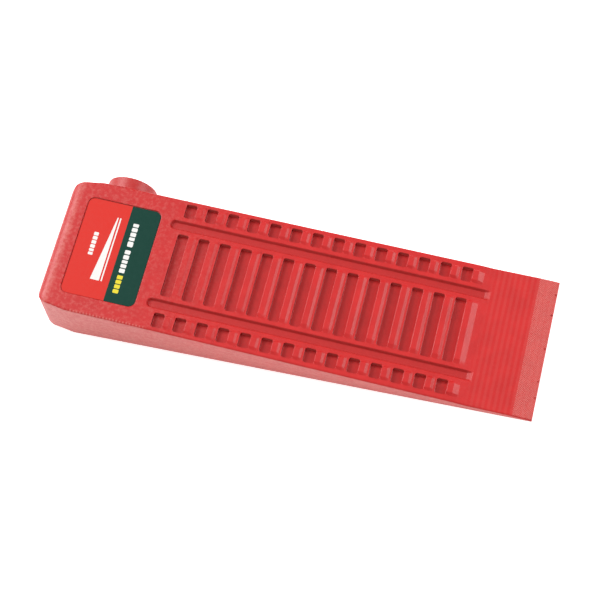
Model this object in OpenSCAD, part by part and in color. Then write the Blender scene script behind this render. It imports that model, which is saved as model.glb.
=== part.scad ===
// Felling wedge: a solid nylon wedge with barbed rows on its sloping face,
// a round boss on one side of the head, and a label set in a recess.
// Frame: underside on Z = 0, +X toward the tip, +Y toward the boss,
// origin at the middle of the underside.

/* [Wedge] */
// Length from the striking face to the tip edge
body_l = 252; // [200:1:320]
// Width at the underside, where the sides are widest
body_w = 76; // [60:1:100]
// Height of the sloping face, carried back to the striking face
butt_h = 26.4; // [20:0.1:36]
// Height of the sloping face where the barbs end
front_h = 5.3; // [4.4:0.1:8]
// Lean of the two long sides, in degrees, so that the moulding leaves its tool
side_draft = 3.4; // [0:0.1:5]

/* [Head] */
// Radius of the round along the top of the striking face
butt_round = 6; // [2:0.5:8]
// Chamfer along the bottom of the striking face
butt_chamfer = 1; // [0.5:0.1:3]
// Length over which the sides narrow to the striking face
taper_l = 16; // [10:1:24]
// How far each side has moved in at the striking face
taper_w = 2.8; // [1:0.1:5]
// Radius of the two upright corners of the striking face
corner_r = 7; // [6.8:0.1:8]

/* [Boss] */
// Distance from the striking face to the axis of the boss
boss_x = 27; // [20:0.5:40]
// Radius of the boss
boss_r = 13; // [8:0.5:15]
// How far the boss stands out from the side at the underside
boss_out = 4.7; // [2:0.1:10]
// Chamfer around the outer face of the boss
boss_chamfer = 0.6; // [0.2:0.1:2]
// How far the boss lies below the sloping face
boss_drop = 0.2; // [0:0.1:2]

/* [Tip] */
// Thickness of the tip edge
tip_h = 1.2; // [0.8:0.1:2]
// Least length of the smooth tip, from the last barb to the tip edge
smooth_l = 36; // [28:1:60]
// Length of the steeper bevel that ends in the tip edge
bevel_l = 9.8; // [6:0.1:16]
// Height at which the bevel starts
bevel_h = 2.5; // [2:0.1:3.5]
// Drop from the barbed face to the plain face in front of the barbs
plain_drop = 0.5; // [0.2:0.1:0.8]
// Length over which that drop happens
plain_run = 7; // [4:0.5:12]
// Width of the small vent nicks, at the tip edge
nick_w = 1.2; // [0.6:0.1:2]
// How far the vent nicks run in from the tip edge
nick_d = 1.3; // [0.6:0.1:2.5]
// Height of the floor of the vent nicks above the underside
nick_floor = 0.6; // [0.3:0.1:0.7]

/* [Barbs] */
// Distance from one barb to the next, along the face
barb_pitch = 11.06; // [9.6:0.01:15]
// Distance from the round end of the grooves to the first slot
first_gap = 5.5; // [2:0.5:10]
// Width of the slot behind each barb
slot_w = 5.65; // [4:0.05:6.5]
// Depth of the slots
slot_d = 2.4; // [1:0.1:2.6]
// Radius of the slot corners
slot_r = 1.1; // [0.4:0.1:1.8]
// Height of the barb nearest the head above the face
barb_h = 0.55; // [0.3:0.05:1.2]
// Height of the barb nearest the tip above the face
last_barb_h = 0.95; // [0.3:0.05:1.2]
// Flat width of the top of a barb
barb_flat = 2.9; // [1.5:0.1:3.2]
// Length of the ramp from the top of a barb down to the face, toward the tip
barb_ramp = 1.4; // [0.8:0.1:1.5]
// Length of the slots of the two side rows, across the wedge
side_l = 7.8; // [4:0.1:10]
// Width left between the side rows and the edge of the underside
edge_w = 3.2; // [2.8:0.1:6]
// Width of the rails between the rows and the grooves
rail_w = 2.1; // [1:0.1:4]

/* [Grooves] */
// Width of the two long grooves at the face
groove_w = 5.3; // [4:0.1:7]
// Depth of the grooves
groove_d = 1.5; // [0.8:0.1:1.8]
// How far the groove walls lean out for each millimetre of depth
groove_lean = 0.6; // [0.1:0.1:1]
// Distance from the label recess to the round end of the grooves
groove_gap = 5.3; // [2:0.1:12]
// Length of the run-out ramp at the tip end of the grooves
groove_runout = 3; // [2:0.5:6]

/* [Label] */
// Distance from the striking face to the recess, along the face
label_start = 10.9; // [9:0.1:14]
// Length of the recess along the face
recess_l = 38.8; // [20:0.1:60]
// Distance from the sides of the recess to the edge of the underside
recess_edge = 10.7; // [6:0.1:18]
// Depth of the recess
recess_d = 0.8; // [0.5:0.1:1.2]
// Radius of the recess corners
recess_r = 3.6; // [2:0.1:6]
// Thickness of the label
label_t = 0.3; // [0.15:0.05:0.4]
// Gap between the label and the wall of the recess
label_gap = 0.3; // [0.2:0.1:1]

/* [Hidden] */
$fn = 64;

nylon = [0.82, 0.16, 0.15];
print_red = [0.88, 0.22, 0.18];

// Positions of the vent nicks across the tip edge
nick_y = [-26, -17.3, 0.5, 19, 30.4];
// Far enough to clear the body with any cutter
over = 2;

// Along the face, from the striking face: grooves, then as many barbs as fit
groove_start = label_start + recess_l + groove_gap;
barb_start = groove_start + first_gap;
barb_n = floor((body_l - smooth_l - barb_start) / barb_pitch);
face_end = barb_start + (barb_n - 1) * barb_pitch + slot_w + barb_flat;

// Across the face, from the edge in: side row, rail, groove, rail, middle row
side_row_y = body_w / 2 - edge_w - side_l / 2;
groove_y = side_row_y - side_l / 2 - rail_w - groove_w / 2;
middle_l = 2 * (groove_y - groove_w / 2 - rail_w);
recess_w = body_w - 2 * recess_edge;

// The face meets the striking face at (0, butt_h) before it is rounded
face_slope = asin((butt_h - front_h) / face_end);
slope = tan(face_slope);
face_end_x = face_end * cos(face_slope);
plain_x = face_end_x + plain_run;
bevel_x = body_l - bevel_l;
groove_end = (plain_x + over / 2) / cos(face_slope);

// Centre of the circle that rounds the top of the striking face
round_z = butt_h - slope * butt_round - butt_round / cos(face_slope);

// The boss is level with the face above it, and flat where it meets the underside
boss_z = butt_h - slope * boss_x - boss_r - boss_drop;

// Side view of the wedge
module side_view() {
    polygon([
        [butt_chamfer, 0],
        [0, butt_chamfer],
        [0, round_z],
        [butt_round, round_z],
        [butt_round + butt_round * sin(face_slope), round_z + butt_round * cos(face_slope)],
        [face_end_x, front_h],
        [plain_x, front_h - slope * plain_run - plain_drop],
        [bevel_x, bevel_h],
        [body_l, tip_h],
        [body_l, 0]
    ]);
    translate([butt_round, round_z]) circle(butt_round);
}

// Half of the outline seen from above: one side, its taper and its corner
module half_outline() {
    half_w = body_w / 2 * cos(side_draft);
    taper = atan(taper_w / taper_l);
    // Where a circle of corner_r touches both the striking face and the taper
    corner_y = half_w - taper_w + corner_r * tan(taper) - corner_r / cos(taper);
    polygon([
        [0, -body_w],
        [0, corner_y],
        [corner_r, corner_y],
        [corner_r - corner_r * sin(taper), corner_y + corner_r * cos(taper)],
        [taper_l, half_w],
        [body_l, half_w],
        [body_l, -body_w]
    ]);
    translate([corner_r, corner_y]) circle(corner_r);
}

// Everything inside one leaning side
module side_limit() {
    rotate([side_draft, 0, 0])
        translate([0, 0, -over - body_w * sin(side_draft)])
            linear_extrude(butt_h + 2 * over + 2 * body_w * sin(side_draft)) half_outline();
}

// The plain wedge, before anything is cut into it or stands on it
module blank() {
    intersection() {
        translate([0, body_w, 0]) rotate([90, 0, 0]) linear_extrude(2 * body_w) side_view();
        side_limit();
        mirror([0, 1, 0]) side_limit();
    }
}

// Round boss on the side of the head, cut level with the underside
module boss() {
    outer_y = body_w / 2 + boss_out;
    intersection() {
        translate([boss_x, 0, boss_z])
            rotate([-90, 0, 0])
                union() {
                    cylinder(h = outer_y - boss_chamfer, r = boss_r);
                    translate([0, 0, outer_y - boss_chamfer])
                        cylinder(h = boss_chamfer, r1 = boss_r, r2 = boss_r - boss_chamfer);
                }
        translate([boss_x - 2 * boss_r, body_w / 4, 0]) cube([4 * boss_r, body_w, butt_h]);
    }
}

// Puts children on the sloping face: X along the face from the striking face, Z out of it
module on_face() {
    translate([0, 0, butt_h]) rotate([0, face_slope, 0]) children();
}

// Rectangle with round corners, from x = 0 and centred on y = 0
module round_rect(l, w, r) {
    translate([r, -w / 2]) square([l - 2 * r, w]);
    translate([0, -w / 2 + r]) square([l, w - 2 * r]);
    for (x = [r, l - r], y = [-w / 2 + r, w / 2 - r]) translate([x, y]) circle(r);
}

// One row of slots
module slot_row(l) {
    for (i = [0 : barb_n - 1])
        translate([barb_start + i * barb_pitch, 0, -slot_d])
            linear_extrude(slot_d + over) round_rect(slot_w, l, slot_r);
}

// One barb of height h: upright toward the striking face, ramped toward the tip
module barb(l, h) {
    // The ramp goes on down to the root, inside the body
    root = 1;
    full_l = barb_flat + barb_ramp * (1 + root / h);
    intersection() {
        translate([0, l, 0]) rotate([90, 0, 0]) linear_extrude(2 * l)
            polygon([[0, -root], [0, h], [barb_flat, h], [full_l, -root]]);
        translate([0, 0, -root]) linear_extrude(root + h) round_rect(full_l, l, slot_r);
    }
}

// One row of barbs, higher toward the tip
module barb_row(l) {
    for (i = [0 : barb_n - 1])
        translate([barb_start + i * barb_pitch + slot_w, 0, 0])
            barb(l, barb_h + (last_barb_h - barb_h) * i / max(1, barb_n - 1));
}

// One groove: sloping walls, a round end toward the striking face, a ramp out at the tip end
module groove() {
    end_r = groove_w / 2;
    floor_r = end_r - groove_d * groove_lean;
    rise = over * groove_lean;
    translate([groove_start + end_r, 0, 0])
        intersection() {
            rotate([90, 0, 90]) linear_extrude(groove_end - groove_start)
                polygon([
                    [-end_r - rise, over], [-floor_r, -groove_d],
                    [floor_r, -groove_d], [end_r + rise, over]
                ]);
            translate([0, groove_w, 0]) rotate([90, 0, 0]) linear_extrude(2 * groove_w)
                polygon([
                    [0, over], [0, -groove_d],
                    [groove_end - groove_start - end_r - groove_runout, -groove_d],
                    [groove_end - groove_start - end_r, -plain_drop],
                    [groove_end - groove_start - end_r, over]
                ]);
        }
    translate([groove_start + end_r, 0, -groove_d])
        cylinder(h = groove_d + over, r1 = floor_r, r2 = end_r + rise);
}

// Small vent nicks in the tip edge
module nicks() {
    // Half the width of the cutter where it ends, past the tip edge
    half = nick_w / 2 * (nick_d + over) / nick_d;
    for (y = nick_y)
        translate([body_l, y, nick_floor])
            linear_extrude(bevel_h + over)
                polygon([[-nick_d, 0], [over, -half], [over, half]]);
}

// The moulding: blank, boss and barbs, less the slots, grooves, recess and nicks
module wedge_body() {
    color(nylon)
        translate([-body_l / 2, 0, 0])
            difference() {
                union() {
                    blank();
                    boss();
                    on_face() {
                        barb_row(middle_l);
                        for (s = [-1, 1]) translate([0, s * side_row_y, 0]) barb_row(side_l);
                    }
                }
                on_face() {
                    slot_row(middle_l);
                    for (s = [-1, 1]) {
                        translate([0, s * side_row_y, 0]) slot_row(side_l);
                        translate([0, s * groove_y, 0]) groove();
                    }
                    translate([label_start, 0, -recess_d])
                        linear_extrude(recess_d + over) round_rect(recess_l, recess_w, recess_r);
                }
                nicks();
            }
}

// Printed label, stuck to the floor of the recess
module label() {
    color(print_red)
        translate([-body_l / 2, 0, 0])
            on_face()
                translate([label_start + label_gap, 0, -recess_d])
                    linear_extrude(label_t)
                        round_rect(recess_l - 2 * label_gap, recess_w - 2 * label_gap,
                                   recess_r - label_gap);
}

wedge_body();
label();
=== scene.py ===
"""Felling wedge: a solid nylon moulding with barbs, slots and grooves, and a printed label in its recess."""

import math

import bmesh
import bpy
from mathutils import Matrix, Vector


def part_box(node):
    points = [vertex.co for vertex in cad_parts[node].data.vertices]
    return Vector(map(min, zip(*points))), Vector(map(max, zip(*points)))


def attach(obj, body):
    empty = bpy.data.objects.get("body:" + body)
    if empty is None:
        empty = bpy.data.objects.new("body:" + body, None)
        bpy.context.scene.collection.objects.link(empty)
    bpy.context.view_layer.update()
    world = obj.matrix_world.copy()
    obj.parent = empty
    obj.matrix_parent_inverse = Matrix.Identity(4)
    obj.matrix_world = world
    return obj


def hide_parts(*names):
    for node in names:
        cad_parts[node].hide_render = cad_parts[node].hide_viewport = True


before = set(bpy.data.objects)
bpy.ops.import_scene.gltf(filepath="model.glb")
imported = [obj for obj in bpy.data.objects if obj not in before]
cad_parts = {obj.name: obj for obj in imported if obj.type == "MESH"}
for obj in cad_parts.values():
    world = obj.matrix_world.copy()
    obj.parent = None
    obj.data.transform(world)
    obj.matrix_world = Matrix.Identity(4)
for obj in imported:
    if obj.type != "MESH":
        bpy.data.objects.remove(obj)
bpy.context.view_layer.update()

MM = 0.001
NEAR = 0.01 * MM

# ---------------------------------------------------------------- sizes, in metres
# X runs from the striking face, Y from the centre line, Z up from the underside.
body_low, body_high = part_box("wedge_body")
STRIKE_X = body_low.x
BODY_L = body_high.x - body_low.x
BODY_W = -2 * body_low.y
BUTT_H = 26.4 * MM
FRONT_H = 5.3 * MM
SIDE_DRAFT = math.radians(3.4)

BUTT_ROUND = 6 * MM
TAPER_L = 16 * MM
TAPER_W = 2.8 * MM
CORNER_R = 7 * MM

BOSS_X = 27 * MM
BOSS_R = 13 * MM
BOSS_OUT = body_high.y
BOSS_DROP = 0.2 * MM
BOSS_ROOT = 6 * MM
BOSS_EDGE_R = 0.7 * MM

TIP_H = 1.2 * MM
BEVEL_L = 9.8 * MM
BEVEL_H = 2.5 * MM
PLAIN_DROP = 0.5 * MM
PLAIN_RUN = 7 * MM
NICK_W = 1.2 * MM
NICK_D = 1.3 * MM
NICK_FLOOR = 0.6 * MM
NICK_Y = [-26 * MM, -17.3 * MM, 0.5 * MM, 19 * MM, 30.4 * MM]
NICK_OVER = 2 * MM

BARB_N = 14
BARB_PITCH = 11.06 * MM
SLOT_W = 5.65 * MM
SLOT_D = 2.4 * MM
SLOT_R = 1.1 * MM
BARB_LOW = 0.55 * MM
BARB_HIGH = 0.95 * MM
BARB_FLAT = 2.9 * MM
BARB_RAMP = 1.4 * MM
LAST_RAMP = 3.0 * MM
SIDE_L = 7.8 * MM
EDGE_W = 3.2 * MM
RAIL_W = 2.1 * MM

GROOVE_W = 5.3 * MM
GROOVE_D = 1.5 * MM
GROOVE_LEAN = 0.6
GROOVE_RUNOUT = 3 * MM

LABEL_START = 10.9 * MM
RECESS_L = 38.8 * MM
RECESS_EDGE = 10.7 * MM
RECESS_D = 0.8 * MM
RECESS_R = 3.6 * MM
LABEL_T = 0.3 * MM
LABEL_GAP = 0.3 * MM
GROOVE_GAP = 5.3 * MM
FIRST_GAP = 5.5 * MM

GROOVE_START = LABEL_START + RECESS_L + GROOVE_GAP
BARB_START = GROOVE_START + FIRST_GAP
FACE_END = BARB_START + (BARB_N - 1) * BARB_PITCH + SLOT_W + BARB_FLAT
SLOPE = math.asin((BUTT_H - FRONT_H) / FACE_END)
TOP_EDGE_R = 0.9 * MM
UNDER_R = 0.6 * MM
FINE_R = 0.2 * MM
SMOOTH_ANGLE = math.radians(16)
# Bevel width over radius, where a side turns about 80 degrees into the striking face
CORNER_BEVEL = 0.84
# Least part of a unit normal along an axis for a face to count as square to it
SQUARE = 0.9

SIDE_ROW_Y = BODY_W / 2 - EDGE_W - SIDE_L / 2
GROOVE_Y = SIDE_ROW_Y - SIDE_L / 2 - RAIL_W - GROOVE_W / 2
MIDDLE_HALF = GROOVE_Y - GROOVE_W / 2 - RAIL_W
RECESS_HALF = BODY_W / 2 - RECESS_EDGE


def to_face(x, z):
    """A point of the side view, as (distance along the sloping face, height above it)."""
    dz = z - BUTT_H
    return x * math.cos(SLOPE) - dz * math.sin(SLOPE), x * math.sin(SLOPE) + dz * math.cos(SLOPE)


# ---------------------------------------------------------------- modelling helpers
def choose(piece):
    """Make one piece the only selected one, and the active one."""
    bpy.ops.object.select_all(action="DESELECT")
    piece.select_set(True)
    bpy.context.view_layer.objects.active = piece


def start_edit(piece):
    """Go into edit mode on one piece, with nothing selected."""
    choose(piece)
    bpy.ops.object.mode_set(mode="EDIT")
    bpy.ops.mesh.select_all(action="DESELECT")


def end_edit():
    bpy.ops.object.mode_set(mode="OBJECT")


def pick(piece, kind, test):
    """Select only the faces, edges or vertices that pass the test. Returns how many."""
    bpy.ops.mesh.select_mode(type=kind)
    bpy.ops.mesh.select_all(action="DESELECT")
    mesh = bmesh.from_edit_mesh(piece.data)
    items = {"FACE": mesh.faces, "EDGE": mesh.edges, "VERT": mesh.verts}[kind]
    chosen = [item for item in items if test(item)]
    for item in chosen:
        item.select_set(True)
    mesh.select_flush_mode()
    bmesh.update_edit_mesh(piece.data)
    return len(chosen)


def middle(item):
    """Middle of an edge or a face."""
    return sum((v.co for v in item.verts), Vector()) / len(item.verts)


def fall_along(edge):
    """Difference in height between the two ends of an edge."""
    return abs(edge.verts[0].co.z - edge.verts[1].co.z)


def faces_up(face):
    return face.normal.z > SQUARE


def cut(piece, axis, place, test):
    """Cut the faces that pass the test along a plane square to an axis."""
    pick(piece, "FACE", test)
    normal = Vector((axis == "x", axis == "y", axis == "z"))
    bpy.ops.mesh.bisect(plane_co=normal * place, plane_no=normal, threshold=NEAR / 10)


def raise_faces(height):
    """Extrude the selected faces up, or down where the height is negative."""
    bpy.ops.mesh.extrude_region_move(TRANSFORM_OT_translate={"value": (0, 0, height)})


def lift(height):
    """Move what is selected straight up."""
    bpy.ops.transform.translate(value=(0, 0, height))


def round_edges(piece, offset, segments, test):
    """Round the edges that pass the test."""
    if pick(piece, "EDGE", test):
        bpy.ops.mesh.bevel(offset=offset, segments=segments, affect="EDGES", clamp_overlap=False)


def block(name, low, high):
    """A box between two corners."""
    low, high = Vector(low), Vector(high)
    bpy.ops.object.select_all(action="DESELECT")
    bpy.ops.mesh.primitive_cube_add(size=1, location=(low + high) / 2)
    piece = bpy.context.object
    piece.name = name
    piece.data.name = name
    piece.scale = high - low
    settle(piece)
    return piece


def settle(piece):
    """Put the piece's place, turn and size into its mesh."""
    choose(piece)
    bpy.ops.object.transform_apply(location=True, rotation=True, scale=True)


def tilt(piece):
    """Turn a piece that was made lying level onto the sloping face."""
    piece.rotation_euler = (0, SLOPE, 0)
    piece.location = (0, 0, BUTT_H)
    settle(piece)


def place_in_frame(piece):
    """Move a mesh made from the striking face on into the frame."""
    start_edit(piece)
    bpy.ops.mesh.select_all(action="SELECT")
    bpy.ops.transform.translate(value=(STRIKE_X, 0, 0))
    end_edit()


def apply_modifier(piece, modifier):
    bpy.context.view_layer.objects.active = piece
    bpy.ops.object.modifier_apply(modifier=modifier.name)


def combine(piece, other, operation):
    """Boolean with another piece, which is used up."""
    modifier = piece.modifiers.new("combine", "BOOLEAN")
    modifier.operation = operation
    modifier.solver = "EXACT"
    modifier.object = other
    apply_modifier(piece, modifier)
    bpy.data.objects.remove(other)


def merge(piece):
    bpy.ops.mesh.select_mode(type="VERT")
    bpy.ops.mesh.select_all(action="SELECT")
    bpy.ops.mesh.remove_doubles(threshold=NEAR)
    bpy.ops.mesh.dissolve_degenerate(threshold=NEAR)


# ---------------------------------------------------------------- the sloping face
# Rows of slots: lower and upper end, and how far the barbs fade out at each
ROWS = [
    (-MIDDLE_HALF, MIDDLE_HALF, 2.2 * MM, 1.3 * MM),
    (-SIDE_ROW_Y - SIDE_L / 2, -SIDE_ROW_Y + SIDE_L / 2, 1.5 * MM, 1.2 * MM),
    (SIDE_ROW_Y - SIDE_L / 2, SIDE_ROW_Y + SIDE_L / 2, 1.5 * MM, 1.2 * MM),
]
FACE_BREAK = GROOVE_START - 2.5 * MM
PLAIN_START = (FACE_END * math.cos(SLOPE) + PLAIN_RUN) / math.cos(SLOPE)
BEVEL_START, BEVEL_RISE = to_face(BODY_L - BEVEL_L, BEVEL_H)
TIP_END, TIP_RISE = to_face(BODY_L, TIP_H)
GROOVE_END = PLAIN_START + 1 * MM
RIPPLE_PITCH = 2.8 * MM
RIPPLE = 0.035 * MM
BLOCK_OVER = 5 * MM
LAST_FOOT = FACE_END + LAST_RAMP
RUNOUT_START = GROOVE_END - GROOVE_RUNOUT
# Lines that run right across the face, besides those of the slots and barbs
FACE_LINES = [FACE_BREAK, GROOVE_START, FACE_END, LAST_FOOT, RUNOUT_START, PLAIN_START, GROOVE_END,
              BEVEL_START]
# A point this far below a barb's crest is no longer on the crest, and this far above the face is on the barb
CREST_BAND = 0.3 * MM
BARB_BAND = 0.1 * MM
FULL_HEIGHT = 1 - 1e-3
SLOT_CORNER_STEPS = 4
ROUND_STEPS = 8


def tip_fall(x):
    """Height of the smooth tip above the plane of the barbed face."""
    knots = [(FACE_END, 0), (PLAIN_START, -PLAIN_DROP), (BEVEL_START, BEVEL_RISE), (TIP_END, TIP_RISE)]
    for (x0, z0), (x1, z1) in zip(knots, knots[1:]):
        if x <= x1 or x1 == TIP_END:
            return z0 + (z1 - z0) * (x - x0) / (x1 - x0)


def slot_start(i):
    return BARB_START + i * BARB_PITCH


def barb_lines():
    """Lines across the face at the slots, and at the crest and foot of each barb but the last."""
    lines = []
    for i in range(BARB_N):
        crest = slot_start(i) + SLOT_W + BARB_FLAT
        lines += [slot_start(i), slot_start(i) + SLOT_W]
        if i < BARB_N - 1:
            lines += [crest, crest + BARB_RAMP]
    return lines


def ripple_lines():
    """Troughs and crests of the milling ripple on the plain face, in turn."""
    lines = []
    x = GROOVE_END + RIPPLE_PITCH / 2
    while x < BEVEL_START - RIPPLE_PITCH / 4:
        lines.append(x)
        x += RIPPLE_PITCH / 2
    return lines


RIPPLES = ripple_lines()


def in_rows(y):
    return any(low < y < high for low, high, _, _ in ROWS)


def lay_out(piece):
    """Draw every line of the face on the top of the block."""
    def ahead(face):
        return faces_up(face) and middle(face).x > FACE_BREAK

    def behind(face):
        return faces_up(face) and middle(face).x < FACE_BREAK

    for x in sorted(FACE_LINES + barb_lines() + RIPPLES):
        cut(piece, "x", x, faces_up)
    across = [side * (GROOVE_Y + step * GROOVE_W / 2) for side in (-1, 1) for step in (-1, 1)]
    for low, high, fade_low, fade_high in ROWS:
        across += [low, low + fade_low, high - fade_high, high]
    for y in sorted(across):
        cut(piece, "y", y, ahead)
    for x in (LABEL_START, LABEL_START + RECESS_L):
        cut(piece, "x", x, behind)
    for y in (-RECESS_HALF, RECESS_HALF):
        cut(piece, "y", y, behind)


def shape_tip(piece):
    """A small step down, the plain face with its milling ripple, and the bevel."""
    for x in [x for x in FACE_LINES if x > FACE_END + NEAR] + RIPPLES + [TIP_END + BLOCK_OVER]:
        fall = tip_fall(x)
        if x in RIPPLES:
            fall += RIPPLE * (1 if RIPPLES.index(x) % 2 else -1)
        pick(piece, "VERT", lambda v: abs(v.co.x - x) < NEAR and abs(v.co.z) < NEAR)
        lift(fall)


def cut_slots(piece):
    def slot_floor(face):
        place = (middle(face).x - BARB_START) / BARB_PITCH
        over_slot = 0 < place < BARB_N and (place % 1) * BARB_PITCH < SLOT_W
        return faces_up(face) and over_slot and in_rows(middle(face).y)

    def slot_corner(edge):
        a = edge.verts[0]
        if abs(fall_along(edge) - SLOT_D) > NEAR or a.co.x < BARB_START - NEAR:
            return False
        place = ((a.co.x - BARB_START) % BARB_PITCH + NEAR) % BARB_PITCH
        on_x = place < 2 * NEAR or abs(place - SLOT_W) < 2 * NEAR
        on_y = any(abs(a.co.y - end) < NEAR for low, high, _, _ in ROWS for end in (low, high))
        return on_x and on_y

    pick(piece, "FACE", slot_floor)
    raise_faces(-SLOT_D)
    round_edges(piece, SLOT_R, SLOT_CORNER_STEPS, slot_corner)


def fade_levels(points, row, foot):
    """For each place across one row where a barb isn't at full height, its share of that height."""
    low, high, fade_low, fade_high = row
    levels = {}
    for point in points:
        if low - NEAR < point.y < high + NEAR and point.x < foot - NEAR:
            fade = min((point.y - low) / fade_low, (high - point.y) / fade_high, 1)
            if fade < FULL_HEIGHT:
                levels[round(point.y, 6)] = max(fade, 0)
    return levels


def raise_barb(piece, i):
    """One barb in every row: raised beside its slot, ramped toward the tip, fading out at both ends."""
    start = slot_start(i) + SLOT_W
    foot = start + BARB_FLAT + (LAST_RAMP if i == BARB_N - 1 else BARB_RAMP)
    rise = BARB_LOW + (BARB_HIGH - BARB_LOW) * i / (BARB_N - 1)

    def beside_slot(face):
        return (faces_up(face) and start < middle(face).x < foot and in_rows(middle(face).y)
                and middle(face).z > -SLOT_D / 2 and min(v.co.x for v in face.verts) > start - NEAR)

    pick(piece, "FACE", beside_slot)
    raise_faces(rise)
    raised = [v.co.copy() for v in bmesh.from_edit_mesh(piece.data).verts if v.select]
    for row in ROWS:
        for y, fade in fade_levels(raised, row, foot).items():
            pick(piece, "VERT", lambda v: abs(v.co.y - y) < NEAR and start - NEAR < v.co.x < foot - NEAR
                 and v.co.z > rise - CREST_BAND and v.co.z > BARB_BAND)
            lift(-rise * (1 - fade))
    pick(piece, "VERT", lambda v: abs(v.co.x - foot) < NEAR and v.co.z > rise - CREST_BAND)
    lift(-rise)


def cut_groove(piece, centre_y):
    """A straight-sided channel first, then its round end, then the floor is drawn in and ramped out."""
    def on_wall_end(v):
        return abs(v.co.x - GROOVE_START) < NEAR and abs(abs(v.co.y - centre_y) - GROOVE_W / 2) < NEAR

    def on_floor(v):
        return (abs(v.co.y - centre_y) < GROOVE_W / 2 + NEAR and v.co.z < -GROOVE_D + 2 * NEAR
                and GROOVE_START - NEAR < v.co.x < GROOVE_END - NEAR)

    pick(piece, "FACE", lambda f: faces_up(f) and abs(middle(f).y - centre_y) < GROOVE_W / 2
         and GROOVE_START < middle(f).x < GROOVE_END)
    raise_faces(-GROOVE_D)
    round_edges(piece, GROOVE_W / 2 - 5 * NEAR, ROUND_STEPS,
                lambda e: fall_along(e) > GROOVE_D / 2 and all(on_wall_end(v) for v in e.verts))

    draw = 1 - GROOVE_D * GROOVE_LEAN / (GROOVE_W / 2)
    turn_x = GROOVE_START + GROOVE_W / 2
    pick(piece, "VERT", lambda v: on_floor(v) and v.co.x < turn_x)
    bpy.ops.transform.resize(value=(draw, draw, 1), center_override=(turn_x, centre_y, 0))
    pick(piece, "VERT", lambda v: on_floor(v) and v.co.x > turn_x)
    bpy.ops.transform.resize(value=(1, draw, 1), center_override=(turn_x, centre_y, 0))

    # The floor keeps its depth below the barbed face, then ramps out at the tip end
    for x in (LAST_FOOT, PLAIN_START):
        level = -GROOVE_D
        if x > RUNOUT_START:
            share = (GROOVE_END - x) / GROOVE_RUNOUT
            level = -GROOVE_D * share + tip_fall(GROOVE_END) * (1 - share)
        now = tip_fall(x) - GROOVE_D
        pick(piece, "VERT", lambda v: on_floor(v) and abs(v.co.x - x) < NEAR)
        lift(level - now)
    pick(piece, "VERT", lambda v: on_floor(v) and abs(v.co.x - RUNOUT_START) < NEAR)
    lift(-tip_fall(RUNOUT_START))
    pick(piece, "VERT", lambda v: abs(v.co.x - GROOVE_END) < NEAR
         and abs(v.co.y - centre_y) < GROOVE_W / 2 + NEAR
         and v.co.z < tip_fall(GROOVE_END) - GROOVE_D / 2)
    lift(GROOVE_D)


def cut_recess(piece):
    """The shallow recess for the label, with round corners."""
    pick(piece, "FACE", lambda f: faces_up(f) and LABEL_START < middle(f).x < LABEL_START + RECESS_L
         and abs(middle(f).y) < RECESS_HALF)
    raise_faces(-RECESS_D)
    round_edges(piece, RECESS_R, ROUND_STEPS,
                lambda e: fall_along(e) > RECESS_D / 2 and 0 < middle(e).x < FACE_BREAK
                and abs(middle(e).y) < RECESS_HALF + NEAR)


def ribbed_block():
    """A block whose top is the sloping face: made lying level, then tilted."""
    piece = block("wedge", (-BLOCK_OVER, -BODY_W, -1.3 * BUTT_H), (TIP_END + BLOCK_OVER, BODY_W, 0))
    start_edit(piece)
    lay_out(piece)
    shape_tip(piece)
    cut_slots(piece)
    for i in range(BARB_N):
        raise_barb(piece, i)
    for side in (-1, 1):
        cut_groove(piece, side * GROOVE_Y)
    cut_recess(piece)
    merge(piece)
    end_edit()
    tilt(piece)
    return piece


# ---------------------------------------------------------------- the outline and what stands on it
def envelope():
    """The outline of the wedge: leaning sides that narrow to the striking face."""
    top_z = 1.5 * BUTT_H
    piece = block("outline", (0, -BODY_W / 2, 0), (BODY_L, BODY_W / 2, top_z))
    start_edit(piece)
    bpy.ops.mesh.select_all(action="SELECT")
    bpy.ops.mesh.bisect(plane_co=(TAPER_L, 0, 0), plane_no=(1, 0, 0), threshold=NEAR / 10)
    pick(piece, "VERT", lambda v: v.co.x < NEAR)
    bpy.ops.transform.resize(value=(1, 1 - TAPER_W / (BODY_W / 2), 1), center_override=(0, 0, 0))
    pick(piece, "VERT", lambda v: v.co.z > top_z / 2)
    lean = top_z * math.tan(SIDE_DRAFT)
    bpy.ops.transform.resize(value=(1, 1 - lean / (BODY_W / 2), 1), center_override=(0, 0, 0))
    end_edit()
    return piece


def boss():
    """Round boss on the side of the head, level with the underside."""
    boss_z = BUTT_H - math.tan(SLOPE) * BOSS_X - BOSS_R - BOSS_DROP
    inner_y = BODY_W / 2 - BOSS_ROOT
    bpy.ops.object.select_all(action="DESELECT")
    bpy.ops.mesh.primitive_cylinder_add(vertices=96, radius=BOSS_R, depth=BOSS_OUT - inner_y,
                                        location=(BOSS_X, (BOSS_OUT + inner_y) / 2, boss_z),
                                        rotation=(math.pi / 2, 0, 0))
    piece = bpy.context.object
    piece.name = "boss"
    settle(piece)
    start_edit(piece)
    round_edges(piece, BOSS_EDGE_R, 4, lambda e: all(v.co.y > BOSS_OUT - NEAR for v in e.verts))
    bpy.ops.mesh.select_all(action="SELECT")
    bpy.ops.mesh.bisect(plane_co=(0, 0, 0), plane_no=(0, 0, 1), use_fill=True, clear_inner=True,
                        threshold=NEAR / 10)
    end_edit()
    return piece


def nick(y):
    """Cutter for one vent nick in the upper part of the tip edge, drawn in almost to a point."""
    half = NICK_W / 2 * (NICK_D + NICK_OVER) / NICK_D
    piece = block("nick", (BODY_L - NICK_D, y - half, NICK_FLOOR),
                  (BODY_L + NICK_OVER, y + half, BEVEL_H + NICK_OVER))
    start_edit(piece)
    pick(piece, "VERT", lambda v: v.co.x < BODY_L)
    bpy.ops.transform.resize(value=(1, 0.05, 1), center_override=(BODY_L, y, 0))
    end_edit()
    return piece


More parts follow.
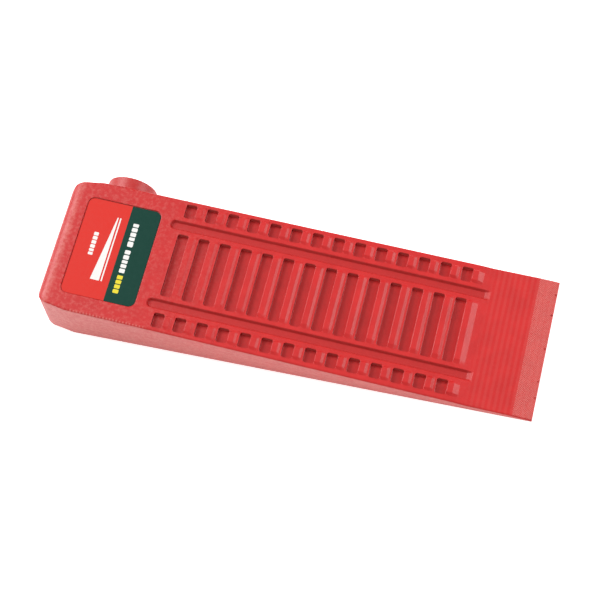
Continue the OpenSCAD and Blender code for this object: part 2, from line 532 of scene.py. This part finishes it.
def above_face(v):
    """Height of a point of the finished blank above its sloping face."""
    x, z = to_face(v.co.x, v.co.z)
    return z - (tip_fall(x) if x > FACE_END else 0)


def outside_rows(v):
    """Is a point farther out than the side rows, where the long top edges run?"""
    inner = BODY_W * 0.4 if v.co.x < FACE_BREAK else SIDE_ROW_Y + SIDE_L / 2 + 0.4 * MM
    return abs(v.co.y) > inner


def weighted_round(piece, radii, segments):
    """Round edges, each to its own radius, in one bevel so that the corners blend."""
    widest = max(radius for radius, _ in radii)
    start_edit(piece)
    mesh = bmesh.from_edit_mesh(piece.data)
    weight = mesh.edges.layers.float.new("bevel_weight_edge")
    for radius, test in radii:
        for edge in mesh.edges:
            if edge[weight] == 0 and test(edge):
                edge[weight] = radius / widest
    bmesh.update_edit_mesh(piece.data)
    end_edit()
    modifier = piece.modifiers.new("outline", "BEVEL")
    modifier.limit_method = "WEIGHT"
    modifier.width = widest
    modifier.segments = segments
    modifier.use_clamp_overlap = False
    apply_modifier(piece, modifier)
    weights = piece.data.attributes.get("bevel_weight_edge")
    if weights:
        piece.data.attributes.remove(weights)


def round_outline(piece):
    """The rounds of the outline: head and long top edges first, then the underside."""
    def butt_top(edge):
        return all(v.co.x < NEAR and v.co.z > BUTT_H - NEAR for v in edge.verts)

    def butt_corner(edge):
        return (all(v.co.x < NEAR and abs(v.co.y) > BODY_W * 0.4 for v in edge.verts)
                and fall_along(edge) > BUTT_H / 2)

    def long_top(edge):
        return (all(abs(above_face(v)) < 2 * RIPPLE and outside_rows(v) for v in edge.verts)
                and any(abs(f.normal.y) > SQUARE for f in edge.link_faces)
                and any(faces_up(f) for f in edge.link_faces))

    def under_edge(edge):
        return (all(abs(v.co.z) < NEAR and v.co.x < BODY_L - NICK_D - NEAR for v in edge.verts)
                and any(f.normal.z > -SQUARE for f in edge.link_faces))

    corner = math.radians(90) - SLOPE
    weighted_round(piece, [
        (BUTT_ROUND * math.tan(corner / 2), butt_top),
        (CORNER_R * CORNER_BEVEL, butt_corner),
        (TOP_EDGE_R, long_top),
    ], 7)
    weighted_round(piece, [(UNDER_R, under_edge)], 3)


def soften(piece, width, segments):
    """Fine round on every edge that is still sharp, then smooth shading that keeps the flats flat."""
    modifier = piece.modifiers.new("soften", "BEVEL")
    modifier.limit_method = "ANGLE"
    modifier.angle_limit = SMOOTH_ANGLE
    modifier.width = width
    modifier.segments = segments
    modifier.use_clamp_overlap = False
    apply_modifier(piece, modifier)
    choose(piece)
    bpy.ops.object.shade_smooth_by_angle(angle=SMOOTH_ANGLE)
    modifier = piece.modifiers.new("flats", "WEIGHTED_NORMAL")
    modifier.keep_sharp = True
    apply_modifier(piece, modifier)


def wedge_body():
    piece = ribbed_block()
    combine(piece, envelope(), "INTERSECT")
    round_outline(piece)
    combine(piece, boss(), "UNION")
    for y in NICK_Y:
        combine(piece, nick(y), "DIFFERENCE")
    soften(piece, FINE_R, 2)
    place_in_frame(piece)
    return piece


# ---------------------------------------------------------------- the label
LABEL_LEVEL = -RECESS_D + LABEL_T
LABEL_SPLIT = 33.85 * MM
LABEL_EDGE_R = 0.06 * MM
INK_T = 0.02 * MM
# Corner radius of a printed block, as a share of its shorter side
INK_CORNER = 0.2
# Thin end of the wedge sign, as a share of its thick end
SIGN_TIP = 0.12

# The print: X limits from the striking face, where a line starts in Y, its block widths in
# millimetres (a space where negative) and the gap between blocks
SIGN_X, SIGN_Y = (23.9 * MM, 28.6 * MM), (-17 * MM, 19 * MM)
RULE_X = (29.4 * MM, 30.1 * MM)
SHORT_X, SHORT_Y = (18.9 * MM, 21.3 * MM), -4.2 * MM
SHORT_LINE, SHORT_GAP = [1.5, 1.5, 1.9, 1.9, 1.9, 1.9], 0.45 * MM
PANEL_X, PANEL_Y = (36.9 * MM, 39.8 * MM), -21.6 * MM
YELLOW_LINE, YELLOW_GAP = [2.1, 2.1, 2.1, 2.1], 0.5 * MM
WHITE_LINE, WHITE_GAP = [2.3, 2, 1.7, 2.4, 2.2, -0.9, 3, 1.8, 2.2, 2.2, 1.8], 0.55 * MM
LINE_BREAK = 1.0 * MM


def ink_block(along, across, film):
    """One printed block, a little proud of the label, between its X and Y limits."""
    mark = block("ink", (along[0], across[0], LABEL_LEVEL - INK_T),
                 (along[1], across[1], LABEL_LEVEL + INK_T))
    mark.data.materials.append(film)
    return mark


def ink(along, across, film):
    """A printed block with rounded corners."""
    mark = ink_block(along, across, film)
    corner = min(along[1] - along[0], across[1] - across[0]) * INK_CORNER
    start_edit(mark)
    round_edges(mark, corner, 3, lambda e: fall_along(e) > INK_T)
    end_edit()
    return mark


def ink_row(along, y, widths, gap, film):
    """A line of printed blocks with no lettering. Returns the blocks and where it ends."""
    marks = []
    for width in widths:
        if width > 0:
            marks.append(ink(along, (y, y + width * MM), film))
        y += abs(width) * MM + gap
    return marks, y


def wedge_sign(film):
    """Plain side view of a wedge, its thick end toward -Y."""
    sign = ink_block(SIGN_X, SIGN_Y, film)
    start_edit(sign)
    pick(sign, "VERT", lambda v: v.co.y > (SIGN_Y[0] + SIGN_Y[1]) / 2)
    bpy.ops.transform.resize(value=(SIGN_TIP, 1, 1), center_override=(SIGN_X[1], SIGN_Y[1], 0))
    end_edit()
    return sign


def film_sheet(films):
    """The label itself: red, with a dark green panel at the end toward the tip."""
    x0, x1 = LABEL_START + LABEL_GAP, LABEL_START + RECESS_L - LABEL_GAP
    half = RECESS_HALF - LABEL_GAP
    sheet = block("printed_label", (x0, -half, -RECESS_D), (x1, half, LABEL_LEVEL))
    start_edit(sheet)
    round_edges(sheet, RECESS_R - LABEL_GAP, ROUND_STEPS, lambda e: fall_along(e) > LABEL_T / 2)
    bpy.ops.mesh.select_all(action="SELECT")
    bpy.ops.mesh.bisect(plane_co=(LABEL_SPLIT, 0, 0), plane_no=(1, 0, 0), threshold=NEAR / 10)
    round_edges(sheet, LABEL_EDGE_R, 2, lambda e: all(v.co.z > LABEL_LEVEL - NEAR for v in e.verts)
                and any(f.normal.z < 0.5 for f in e.link_faces))
    end_edit()
    sheet.data.materials.append(films["label_red"])
    sheet.data.materials.append(films["label_green"])
    for face in sheet.data.polygons:
        face.material_index = 1 if face.center.x > LABEL_SPLIT else 0
    return sheet


def printed_label(films):
    white, yellow = films["ink_white"], films["ink_yellow"]
    piece = film_sheet(films)
    # A short line, the wedge sign on its base line, then a line on the dark panel
    marks, _ = ink_row(SHORT_X, SHORT_Y, SHORT_LINE, SHORT_GAP, white)
    marks.append(wedge_sign(white))
    marks.append(ink(RULE_X, SIGN_Y, white))
    row, y = ink_row(PANEL_X, PANEL_Y, YELLOW_LINE, YELLOW_GAP, yellow)
    marks += row
    row, _ = ink_row(PANEL_X, y + LINE_BREAK, WHITE_LINE, WHITE_GAP, white)
    marks += row
    bpy.ops.object.select_all(action="DESELECT")
    for mark in marks:
        mark.select_set(True)
    piece.select_set(True)
    bpy.context.view_layer.objects.active = piece
    bpy.ops.object.join()
    tilt(piece)
    place_in_frame(piece)
    return piece


# ---------------------------------------------------------------- finishes
class Finish:
    """A Principled material, with short ways to add and join its nodes."""

    def __init__(self, name, colour, roughness):
        self.material = bpy.data.materials.new(name)
        self.material.use_nodes = True
        self.tree = self.material.node_tree
        self.shader = self.tree.nodes["Principled BSDF"]
        self.shader.inputs["Base Color"].default_value = (*colour, 1)
        self.shader.inputs["Roughness"].default_value = roughness
        self.place = self.tree.nodes.new("ShaderNodeTexCoord").outputs["Object"]
        self.material.diffuse_color = (*colour, 1)

    def link(self, source, target):
        if isinstance(source, (int, float)):
            target.default_value = source
        else:
            self.tree.links.new(source, target)

    def math(self, operation, a, b=0.0, c=0.0):
        node = self.tree.nodes.new("ShaderNodeMath")
        node.operation = operation
        for socket, value in zip(node.inputs, (a, b, c)):
            self.link(value, socket)
        return node.outputs[0]

    def noise(self, size, detail=3.0, roughness=0.55, stretch=(1, 1, 1), offset=(0, 0, 0)):
        """Noise whose lumps are about size across, longer where stretch is larger."""
        mapping = self.tree.nodes.new("ShaderNodeMapping")
        mapping.inputs["Location"].default_value = offset
        mapping.inputs["Scale"].default_value = [1 / (size * s) for s in stretch]
        self.link(self.place, mapping.inputs["Vector"])
        node = self.tree.nodes.new("ShaderNodeTexNoise")
        node.inputs["Scale"].default_value = 1
        node.inputs["Detail"].default_value = detail
        node.inputs["Roughness"].default_value = roughness
        self.link(mapping.outputs[0], node.inputs["Vector"])
        return node.outputs["Fac"]

    def product(self, *values):
        result = values[0]
        for value in values[1:]:
            result = self.math("MULTIPLY", result, value)
        return result

    def split(self, vector):
        node = self.tree.nodes.new("ShaderNodeSeparateXYZ")
        self.link(vector, node.inputs[0])
        return node.outputs

    def span(self, value, low, high, to_low=0.0, to_high=1.0):
        """A smooth step of a value between two limits."""
        node = self.tree.nodes.new("ShaderNodeMapRange")
        node.interpolation_type = "SMOOTHSTEP"
        for name, number in (("From Min", low), ("From Max", high), ("To Min", to_low), ("To Max", to_high)):
            node.inputs[name].default_value = number
        self.link(value, node.inputs["Value"])
        return node.outputs[0]

    def mix(self, share, first, second):
        """Mix of two colours, each an RGB triple or a socket."""
        node = self.tree.nodes.new("ShaderNodeMix")
        node.data_type = "RGBA"
        self.link(share, node.inputs["Factor"])
        for socket, value in ((node.inputs[6], first), (node.inputs[7], second)):
            if isinstance(value, tuple):
                socket.default_value = (*value, 1)
            else:
                self.tree.links.new(value, socket)
        return node.outputs[2]

    def bump(self, height, depth):
        """Relief of the given depth, in metres, on the shader."""
        node = self.tree.nodes.new("ShaderNodeBump")
        node.inputs["Strength"].default_value = 1
        node.inputs["Distance"].default_value = depth
        self.link(height, node.inputs["Height"])
        self.link(node.outputs[0], self.shader.inputs["Normal"])

    def colour(self, socket):
        self.link(socket, self.shader.inputs["Base Color"])

    def roughness(self, socket):
        self.link(socket, self.shader.inputs["Roughness"])


NYLON_RED = (0.51, 0.004, 0.004)
NYLON_PALE = (0.54, 0.009, 0.008)
NYLON_DEEP = (0.41, 0.003, 0.003)
# Pale pink: real scuffs and dashes, and also painted sheen and painted highlights on the sides, head round,
# plain face and bevel
NYLON_SCUFF_AND_SHEEN = (0.60, 0.18, 0.155)
# Deep red for painted shade, in the grooves and on the boss
SHADE_RED = (0.36, 0.004, 0.003)
# Darkest red, for painted shade on the slot walls
SLOT_SHADE_RED = (0.20, 0.001, 0.002)
NYLON_ROUGHNESS = 0.42
NYLON_RELIEF = 0.13 * MM
DASH_PITCH = 1.7 * MM
HATCH_PITCH = 1.15 * MM
TURN = 2 * math.pi


class Nylon(Finish):
    """Red moulded nylon. Each layer takes the colour so far and tints part of it."""

    def __init__(self):
        super().__init__("red_nylon", NYLON_RED, NYLON_ROUGHNESS)
        self.x, self.y, self.z = self.split(self.place)
        normal = self.tree.nodes.new("ShaderNodeTexCoord").outputs["Normal"]
        self.nx, self.ny, self.nz = self.split(normal)
        self.blotch = self.noise(1.8 * MM, 4, 0.7)
        self.grain = self.noise(0.65 * MM, 4, 0.65, offset=(5, 2, 7))
        self.streak = self.noise(0.45 * MM, 3, 0.6, stretch=(26, 1, 1))
        # Height above the plane of the barbed face
        self.above = self.math("MULTIPLY_ADD", self.math("SUBTRACT", self.x, STRIKE_X), math.sin(SLOPE),
                               self.product(self.math("SUBTRACT", self.z, BUTT_H), math.cos(SLOPE)))
        leaned_y = self.math("MULTIPLY_ADD", self.z, math.tan(SIDE_DRAFT), self.y)
        self.on_boss = self.span(leaned_y, BODY_W / 2 + 0.05 * MM, BODY_W / 2 + 0.4 * MM)
        side = self.product(self.span(self.math("ABSOLUTE", self.ny), 0.75, 0.97),
                            self.math("SUBTRACT", 1, self.on_boss))
        self.on_side = self.math("MAXIMUM", side, self.product(self.on_boss, 0.22))
        self.on_top = self.span(self.nz, 0.80, 0.97)
        self.at_bevel = self.product(self.on_top, self.past(BODY_L - BEVEL_L - 0.3 * MM,
                                                            BODY_L - BEVEL_L + 0.3 * MM))
        self.hatch = self.cutter_marks()
        cloud = self.noise(9 * MM, 2)
        self.now = self.mix(self.span(cloud, 0.3, 0.7), NYLON_DEEP, NYLON_PALE)

    def past(self, start, full):
        """0 up to start, 1 from full on, both measured from the striking face."""
        return self.span(self.x, STRIKE_X + start, STRIKE_X + full)

    def until(self, full, end):
        """1 up to full, 0 from end on, both measured from the striking face."""
        return self.span(self.x, STRIKE_X + full, STRIKE_X + end, 1, 0)

    def sunk(self, full, none):
        """1 where the surface lies deeper than full below the barbed face, 0 above none."""
        return self.span(self.above, -full, -none, 1, 0)

    def tint(self, share, target):
        self.now = self.mix(share, self.now, target)

    def cutter_marks(self):
        """Crossed marks of the cutter, broken up by the grain."""
        wave = TURN / HATCH_PITCH
        across = self.math("ADD", self.x, self.product(self.y, 0.12))
        along = self.math("SUBTRACT", self.y, self.product(self.x, 0.2))
        crossed = self.product(self.math("SINE", self.product(across, wave)),
                               self.math("SINE", self.product(along, wave)))
        marks = self.math("MULTIPLY_ADD", crossed, 0.5, 0.5)
        return self.product(marks, self.span(self.grain, 0.3, 0.6, 0.55, 1.2))

    def mottle(self):
        """The head is deeper in colour and more mottled than the smooth tip."""
        head = self.until(20 * MM, 110 * MM)
        self.tint(0.6, NYLON_RED)
        self.tint(self.product(head, 0.65), NYLON_DEEP)
        fleck = self.product(self.span(self.blotch, 0.42, 0.68), self.math("MULTIPLY_ADD", head, 0.24, 0.02))
        self.tint(fleck, NYLON_SCUFF_AND_SHEEN)

    def rub_and_sheen_sides(self):
        """Paler streaks drawn along the two long sides, over a painted sheen that lightens every side evenly.
        """
        # Painted sheen: a steady share of pale on every side, with the real streaks and blotches added on top
        rubbed_and_sheen = self.math("MULTIPLY_ADD", self.span(self.streak, 0.38, 0.62), 0.22, 0.24)
        rubbed_and_sheen = self.math("MULTIPLY_ADD", self.span(self.blotch, 0.35, 0.65), 0.2, rubbed_and_sheen)
        self.tint(self.product(self.on_side, rubbed_and_sheen), NYLON_SCUFF_AND_SHEEN)

    def paint_head_highlight(self):
        """Painted highlight: a pale line along the round of the striking face."""
        # Painted highlight where the round turns toward the light
        ridge = self.product(self.past(3.6 * MM, 5.2 * MM), self.until(5.8 * MM, 7.6 * MM),
                             self.span(self.blotch, 0.3, 0.7, 0.12, 0.45), self.span(self.nz, 0.5, 0.9))
        self.tint(ridge, NYLON_SCUFF_AND_SHEEN)

    def dash_edge(self):
        """A row of short pale dashes along the top edge of the head, on the side away from the boss."""
        edge_y = -BODY_W / 2
        band = self.product(self.span(self.above, -0.9 * MM, -0.5 * MM),
                            self.span(self.y, edge_y + 2.1 * MM, edge_y + 2.6 * MM, 1, 0),
                            self.span(self.y, edge_y + 1.4 * MM, edge_y + 1.7 * MM),
                            self.past(17 * MM, 19 * MM), self.until(54 * MM, 60 * MM))
        dash = self.span(self.math("SINE", self.product(self.x, TURN / DASH_PITCH)), -0.2, 0.5)
        self.tint(self.product(band, dash, 0.5), NYLON_SCUFF_AND_SHEEN)

    def shade_grooves(self):
        """Painted shade: the sunk walls and floor of the two long grooves are a deeper red."""
        lane = self.math("ABSOLUTE", self.math("SUBTRACT", self.math("ABSOLUTE", self.y), GROOVE_Y))
        groove = self.product(self.span(lane, GROOVE_W * 0.45, GROOVE_W * 0.55, 1, 0),
                              self.sunk(0.5 * MM, 0.1 * MM),
                              self.past(GROOVE_START - 1 * MM, GROOVE_START),
                              self.until(PLAIN_START - 3 * MM, PLAIN_START))
        self.tint(self.product(groove, 0.6), SHADE_RED)

    def shade_slot_walls(self):
        """Painted shade: the slot walls that face the tip are the darkest red."""
        wall = self.product(self.span(self.nx, 0.4, 0.85), self.sunk(0.35 * MM, 0.05 * MM),
                            self.past(BARB_START - 2 * MM, BARB_START - 1 * MM),
                            self.until(FACE_END - 1 * MM, FACE_END))
        self.tint(self.product(wall, 0.9), SLOT_SHADE_RED)

    def stripe_plain_face(self):
        """Faint painted light and shade bands, in step with the milling ripple of the real facets."""
        stripe = self.math("SINE", self.product(self.math("SUBTRACT", self.x, STRIKE_X), TURN / RIPPLE_PITCH))
        at_plain = self.product(self.on_top, self.past(PLAIN_START - 3 * MM, PLAIN_START + 2 * MM))
        self.tint(self.product(at_plain, self.span(stripe, -0.6, 0.6), 0.07), NYLON_SCUFF_AND_SHEEN)

    def hatch_bevel(self):
        """Cutter marks on the steeper bevel at the tip, painted pale as a sheen off the marks."""
        self.tint(self.product(self.at_bevel, self.product(self.hatch, 0.62)), NYLON_SCUFF_AND_SHEEN)

    def finish_surface(self):
        """Roughness and relief: grain all over, streaks on the sides, cutter marks on the bevel."""
        rough = self.math("MULTIPLY_ADD", self.grain, 0.14, 0.36)
        self.roughness(self.math("ADD", rough, self.product(self.at_bevel, 0.08)))
        relief = self.product(self.grain, 0.6)
        relief = self.math("MULTIPLY_ADD", self.product(self.streak, self.on_side), 0.9, relief)
        relief = self.math("MULTIPLY_ADD", self.hatch, self.at_bevel, relief)
        self.bump(relief, NYLON_RELIEF)


def nylon_finish():
    """Red moulded nylon: fine mottling, drawn streaks down the sides, milling marks at the tip, painted sheen
    and highlights on the sides, head round, plain face and bevel, and painted shade in the slots, the grooves
    and on the boss.
    """
    f = Nylon()
    f.mottle()
    f.rub_and_sheen_sides()
    f.paint_head_highlight()
    f.dash_edge()
    f.shade_grooves()
    f.shade_slot_walls()
    f.stripe_plain_face()
    f.hatch_bevel()
    # Painted shade: the boss is tinted half way to the deep red
    f.tint(f.product(f.on_boss, 0.5), SHADE_RED)
    f.colour(f.now)
    f.finish_surface()
    return f.material


FILM_ROUGHNESS = 0.35
FILM_SPECULAR = 0.22
FILM_RELIEF = 0.01 * MM


def film_finish(name, colour, worn):
    """Printed film: even ink with a faint mottle and a soft gloss."""
    f = Finish(name, colour, FILM_ROUGHNESS)
    f.shader.inputs["Specular IOR Level"].default_value = FILM_SPECULAR
    mottle = f.noise(1.6 * MM, 3)
    f.colour(f.mix(f.span(mottle, 0.35, 0.75, 0, 0.12), colour, worn))
    f.roughness(f.math("MULTIPLY_ADD", mottle, 0.12, 0.30))
    f.bump(f.noise(2.5 * MM, 2, offset=(3, 1, 2)), FILM_RELIEF)
    return f.material


# ---------------------------------------------------------------- the two pieces
wedge = wedge_body()
wedge.data.materials.clear()
wedge.data.materials.append(nylon_finish())
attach(wedge, "root")
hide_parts("wedge_body")

# Each film's colour, and its colour where it is worn
FILMS = {name: film_finish(name, colour, worn) for name, colour, worn in (
    ("label_red", (0.56, 0.026, 0.018), (0.50, 0.05, 0.04)),
    ("label_green", (0.001, 0.036, 0.024), (0.008, 0.055, 0.040)),
    ("ink_white", (0.70, 0.69, 0.67), (0.58, 0.55, 0.52)),
    ("ink_yellow", (0.66, 0.55, 0.03), (0.52, 0.46, 0.08)),
)}
label = printed_label(FILMS)
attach(label, "root")
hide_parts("label")

# ---------------------------------------------------------------- floor, light and camera
FLOOR_SIZE = 6
FLOOR_PALE = (0.9, 0.9, 0.9, 1)
FLOOR_ROUGHNESS = 0.9
FLOOR_GLOW = 0.6
ROOM_FRONT = 0.6
ROOM_BACK = 0.64

scene = bpy.context.scene
bpy.ops.object.select_all(action="DESELECT")
bpy.ops.mesh.primitive_plane_add(size=FLOOR_SIZE, location=(0, 0, 0))
floor = bpy.context.object
floor.name = "floor"
floor_finish = bpy.data.materials.new("pale_floor")
floor_finish.use_nodes = True
paint = floor_finish.node_tree.nodes["Principled BSDF"]
paint.inputs["Base Color"].default_value = FLOOR_PALE
paint.inputs["Roughness"].default_value = FLOOR_ROUGHNESS
# A light table: the floor itself gives some of the light
paint.inputs["Emission Color"].default_value = (1, 1, 1, 1)
paint.inputs["Emission Strength"].default_value = FLOOR_GLOW
floor.data.materials.append(floor_finish)

world = bpy.data.worlds.new("studio")
scene.world = world
world.use_nodes = True
sky = world.node_tree
background = sky.nodes["Background"]
background.inputs["Strength"].default_value = 1
# A pale room, a little brighter on the side with the boss than on the other
direction = sky.nodes.new("ShaderNodeTexCoord").outputs["Generated"]
parts = sky.nodes.new("ShaderNodeSeparateXYZ")
sky.links.new(direction, parts.inputs[0])
fade = sky.nodes.new("ShaderNodeMapRange")
fade.interpolation_type = "SMOOTHSTEP"
fade.inputs["From Min"].default_value = -0.7
fade.inputs["From Max"].default_value = 0.3
fade.inputs["To Min"].default_value = ROOM_FRONT
fade.inputs["To Max"].default_value = ROOM_BACK
sky.links.new(parts.outputs["Y"], fade.inputs["Value"])
sky.links.new(fade.outputs[0], background.inputs["Color"])


def area_light(name, place, aim, size, power):
    """A square area light, aimed at a point."""
    lamp = bpy.data.lights.new(name, "AREA")
    lamp.shape = "RECTANGLE"
    lamp.size = lamp.size_y = size
    lamp.energy = power
    holder = bpy.data.objects.new(name, lamp)
    scene.collection.objects.link(holder)
    holder.location = place
    holder.rotation_euler = (Vector(aim) - Vector(place)).to_track_quat("-Z", "Y").to_euler()


area_light("key", place=(-1.0, 0.35, 1.05), aim=(0, 0, 0), size=0.7, power=19)
area_light("right", place=(1.0, 0.53, 0.74), aim=(0.05, 0, 0), size=0.6, power=8)

# The camera looks down on the wedge from beside its tip, turned a little about its own axis
CAMERA_PLACE = Vector((0.1565, -0.3330, 0.7849))
CAMERA_BACK = Vector((0.18012, -0.38691, 0.90435))
CAMERA_RIGHT = Vector((0.96677, 0.23921, -0.09021))
SENSOR_WIDTH = 36
FOCAL = 102.6
SHIFT_X = -0.0015
camera_data = bpy.data.cameras.new("camera")
camera = bpy.data.objects.new("camera", camera_data)
scene.collection.objects.link(camera)
back = CAMERA_BACK.normalized()
right = (CAMERA_RIGHT - CAMERA_RIGHT.dot(back) * back).normalized()
up = back.cross(right)
turn = Matrix((right, up, back)).transposed()
camera.matrix_world = Matrix.Translation(CAMERA_PLACE) @ turn.to_4x4()
camera_data.sensor_width = SENSOR_WIDTH
camera_data.lens = FOCAL
camera_data.shift_x = SHIFT_X
camera_data.clip_start = 0.01
camera_data.clip_end = 20
scene.camera = camera
scene.view_settings.view_transform = "Standard"
